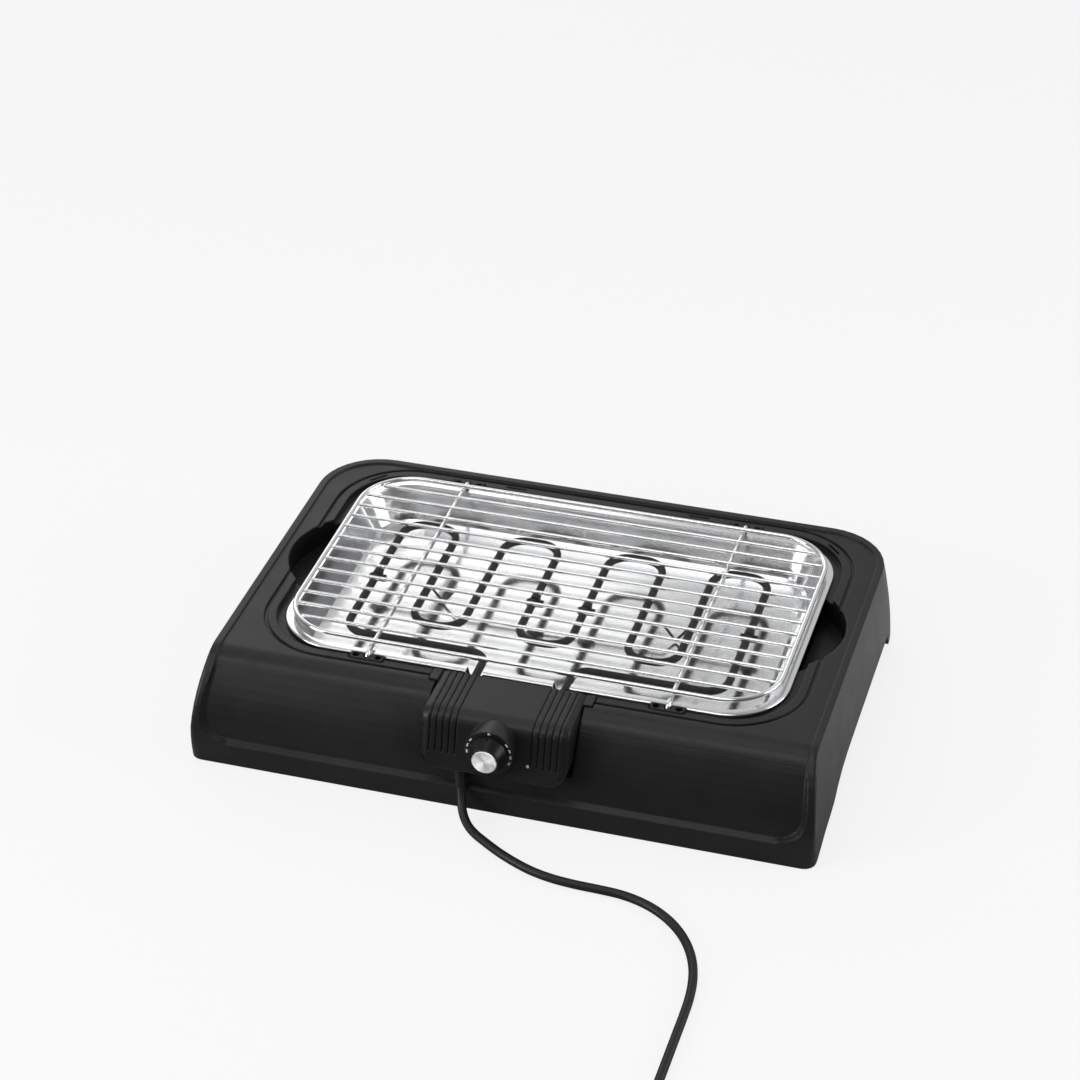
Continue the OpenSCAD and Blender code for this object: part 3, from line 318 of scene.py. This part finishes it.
# Edge of the control box: a thin bead round the sides and the lower edge of its face, where
# the moulding turns back. It is part of the shell on the real grill.
BEAD_R, BEAD_SIDES, BEAD_SHARP = 0.55, 12, 50
FACE_Y, FACE_TOP, FACE_SLOPE = -158.2, 86, 0.26
FACE_HALF, FACE_LOW = 59.6, 41.1
CORNER_R, CORNER_X, CORNER_Z = 15, 44.6, 56.1
SIDE_HEIGHTS = (75, 68, 62, 56.5)


def box_face(x, z):
    """Point on the sloping face of the control box."""
    return Vector((x, FACE_Y - FACE_SLOPE * (FACE_TOP - z), z))


def box_corner(side, degrees):
    """Point of the lower corner on one side, by its angle up from the lower edge."""
    a = math.radians(degrees)
    return box_face(side * (CORNER_X + CORNER_R * math.sin(a)), CORNER_Z - CORNER_R * math.cos(a))


edge = [box_face(-FACE_HALF, z) for z in SIDE_HEIGHTS]
edge += [box_corner(-1, degrees) for degrees in range(81, -1, -9)]
edge += [box_face(x, FACE_LOW) for x in range(-40, 41, 10)]
edge += [box_corner(1, degrees) for degrees in range(0, 82, 9)]
edge += [box_face(FACE_HALF, z) for z in reversed(SIDE_HEIGHTS)]

bm = bmesh.new()
rows = []
for i, middle in enumerate(edge):
    along = (edge[min(i + 1, len(edge) - 1)] - edge[max(i - 1, 0)]).normalized()
    upright = abs(along.z) >= 0.9
    u = along.cross(Vector((1, 0, 0) if upright else (0, 0, 1))).normalized()
    v = u.cross(along)
    row = []
    for k in range(BEAD_SIDES):
        a = math.tau * k / BEAD_SIDES
        row.append(bm.verts.new((middle + BEAD_R * (math.cos(a) * u + math.sin(a) * v)) * MM))
    rows.append(row)
for p, q in zip(rows, rows[1:]):
    for k in range(BEAD_SIDES):
        n = (k + 1) % BEAD_SIDES
        bm.faces.new((p[k], p[n], q[n], q[k]))
bm.faces.new(rows[0][::-1])
bm.faces.new(rows[-1])
bmesh.ops.recalc_face_normals(bm, faces=bm.faces)
mesh = bpy.data.meshes.new("box_bead")
bm.to_mesh(mesh)
bm.free()
for face in mesh.polygons:
    face.use_smooth = True
mesh.set_sharp_from_angle(angle=math.radians(BEAD_SHARP))
link("box_bead", mesh, housing, "heater")


# Scale of the dial: a dot at the top and short dashes down both sides, printed in white on
# the flat ring behind the knob. The angles go clockwise from the top.
KNOB_Z = 67.0
PRINT_Y = -175.14
DASH_ANGLES, DASH_HALF, DASH_STEPS = (-94, -74.5, -55, 55, 73, 92, 112), 5, 5
DASH_IN, DASH_OUT = 17.0, 18.2
DOT_X, DOT_R, DOT_SIDES = 0.3, 0.95, 16
bm = bmesh.new()


def print_point(x, z):
    """Corner of the print, from the middle of the knob."""
    return bm.verts.new((x * MM, PRINT_Y * MM, (KNOB_Z + z) * MM))


for middle in DASH_ANGLES:
    rows = []
    for k in range(DASH_STEPS + 1):
        a = math.radians(middle - DASH_HALF + 2 * DASH_HALF * k / DASH_STEPS)
        rows.append([print_point(r * math.sin(a), r * math.cos(a)) for r in (DASH_IN, DASH_OUT)])
    for p, q in zip(rows, rows[1:]):
        bm.faces.new((p[0], p[1], q[1], q[0]))
dot = []
for k in range(DOT_SIDES):
    a = math.tau * k / DOT_SIDES
    dot.append(print_point(DOT_X + DOT_R * math.cos(a), DASH_OUT + DOT_R * math.sin(a)))
bm.faces.new(dot)
mesh = bpy.data.meshes.new("dial_print")
bm.to_mesh(mesh)
bm.free()
f = Finish("print_white", (0.97, 0.97, 0.97), 0.6)
f.put("Roughness", f.remap(f.noise(500, 2), 0.3, 0.7, 0.5, 0.7))
link("dial_print", mesh, f.mat, "heater")


# Knob: moulded in black plastic on a steel shaft, with a turned aluminium cap pressed on its
# front. The cap carries a painted sheen: its colour runs from grey to white in a fan round the
# axis, over fine rings from the turning tool.
RINGS = 21000.0
knob_plastic = plastic("knob_plastic", (0.007, 0.007, 0.008), (0.01, 0.01, 0.011), 0.36, gloss=0.22)
dress(knob_plastic, "knob")
dress(plain_steel, "knob_shaft")

f = Finish("spun_aluminium", (0.9, 0.9, 0.9), 0.3, 1.0)
place = f.make("ShaderNodeTexCoord", out="Object")
axis = (0, 0, -KNOB_Z * MM)
place = f.make("ShaderNodeVectorMath", {0: place, 1: axis}, operation="ADD")
x = f.make("ShaderNodeSeparateXYZ", {0: place}, out="X")
z = f.make("ShaderNodeSeparateXYZ", {0: place}, out="Z")
turn = f.make("ShaderNodeMath", {0: z, 1: x}, operation="ARCTAN2")
radius = f.make("ShaderNodeMath", {0: x * x + z * z, 1: 0.5}, operation="POWER")
# Painted sheen: grey and white sectors round the axis stand in for the light the turned face
# spreads.
wide_painted_sheen = f.make("ShaderNodeMath", {0: turn * 2.0 + 0.5}, operation="SINE")
fine_painted_sheen = f.make("ShaderNodeMath", {0: turn * 5.0}, operation="SINE")
painted_sheen_fan = f.remap(wide_painted_sheen + fine_painted_sheen * 0.3, -1.2, 1.2, 0, 1)
f.put("Base Color", f.mix(painted_sheen_fan, (0.5, 0.5, 0.51), (0.98, 0.98, 0.98)))
f.put("Roughness", f.remap(f.noise(300, 2), 0.3, 0.7, 0.36, 0.46))
f.bump(f.make("ShaderNodeMath", {0: radius * RINGS}, operation="SINE"), 0.12, 0.00003)
dress(f.mat, "knob_cap")


# Rack: thirteen steel bars and a bent frame, spot-welded to two cross wires whose bent ends
# are its four legs, and chromed as one. The legs stand loose in the blocks of the base.
f = Finish("chrome", (0.94, 0.945, 0.95), 0.12, 1.0)
f.put("Roughness", f.remap(f.noise(60, 3), 0.3, 0.75, 0.08, 0.22))
f.bump(f.noise(900, 2), 0.1, 0.00005)
dress(f.mat, "rack_frame", *numbered("cross_wire", 2), *numbered("rack_leg", 4))
dress(f.mat, *numbered("rack_bar", 13))


# Floor and room: not part of the grill. The camera sees an even pale ground with a faint
# shadow. All other rays meet a floor and a room that are dark in front and pale behind.
FLOOR_SEEN, FLOOR_SHADE, ROOM_SEEN = 0.815, 0.16, 0.935
FLOOR_HALF = 6


def grey(tone):
    return (tone, tone, tone, 1.0)


def front_to_back(nodes, coordinate, near, far, front, behind):
    """Tone that changes along Y, from front at near to behind at far."""
    place = nodes.make("ShaderNodeTexCoord", out=coordinate)
    y = nodes.make("ShaderNodeSeparateXYZ", {0: place}, out="Y")
    return nodes.remap(y, near, far, front, behind)


def camera_sees(nodes, seen, others):
    """One shader for the camera's own rays and another for all the rest."""
    ray = nodes.make("ShaderNodeLightPath", out="Is Camera Ray")
    return nodes.make("ShaderNodeMixShader", {0: ray, 1: others, 2: seen})


mat = bpy.data.materials.new("floor")
mat.use_nodes = True
mat.node_tree.nodes.clear()
nodes = Nodes(mat.node_tree)
even = nodes.make("ShaderNodeEmission", {"Color": grey(FLOOR_SEEN)})
shade = nodes.make("ShaderNodeBsdfDiffuse", {"Color": grey(FLOOR_SHADE)})
seen = nodes.make("ShaderNodeAddShader", {0: even, 1: shade})
tone = front_to_back(nodes, "Object", near=-0.5, far=0.15, front=0.06, behind=0.9)
others = nodes.make("ShaderNodeBsdfDiffuse", {"Color": tone})
nodes.make("ShaderNodeOutputMaterial", {0: camera_sees(nodes, seen, others)})

h = FLOOR_HALF
mesh = bpy.data.meshes.new("floor")
mesh.from_pydata([(-h, -h, 0), (h, -h, 0), (h, h, 0), (-h, h, 0)], [], [(0, 1, 2, 3)])
floor = bpy.data.objects.new("floor", mesh)
floor.data.materials.append(mat)
scene.collection.objects.link(floor)

world = bpy.data.worlds.new("room")
world.use_nodes = True
world.node_tree.nodes.clear()
scene.world = world
nodes = Nodes(world.node_tree)
seen = nodes.make("ShaderNodeBackground", {0: grey(ROOM_SEEN)})
tone = front_to_back(nodes, "Generated", near=-0.5, far=0.7, front=0.15, behind=0.56)
others = nodes.make("ShaderNodeBackground", {0: tone})
nodes.make("ShaderNodeOutputWorld", {0: camera_sees(nodes, seen, others)})


# Lamps: a panel behind on the left lights the deck and the tray, a strip above the front draws
# the highlight along the roll, a panel overhead whitens the wires, and the panels at the sides
# model the walls. A narrow beam lights the turned face of the cap.
def aim(obj, place, target):
    """Puts a lamp at a place, turned towards a target."""
    obj.location = place
    obj.rotation_euler = (Vector(target) - Vector(place)).to_track_quat("-Z", "Y").to_euler()
    scene.collection.objects.link(obj)


def panel(name, place, target, size, watts):
    """Flat rectangular lamp."""
    data = bpy.data.lights.new(name, "AREA")
    data.shape = "RECTANGLE"
    data.size, data.size_y = size
    data.energy = watts
    aim(bpy.data.objects.new(name, data), place, target)


DECK = (0, 0, 0.05)
panel("back", (-1.6, 2.2, 1.5), DECK, (2.2, 1.1), 8)
panel("front_strip", (-0.3, -1.25, 1.95), (0, -0.1, 0.05), (2.6, 0.22), 11)
panel("top", (-0.2, -0.1, 2.3), DECK, (1.7, 0.8), 5)
panel("right", (2.3, 0.5, 0.8), (0.2, 0, 0.05), (1.3, 1.2), 20)
panel("left", (-1.9, -1.5, 0.9), DECK, (1.0, 1.2), 24)

data = bpy.data.lights.new("cap_beam", "SPOT")
data.energy = 95
data.spot_size = math.radians(0.9)
data.spot_blend = 0.2
data.shadow_soft_size = 0.001
aim(bpy.data.objects.new("cap_beam", data), (0.05, -1.5, 0.12), (0, -0.187, KNOB_Z * MM))
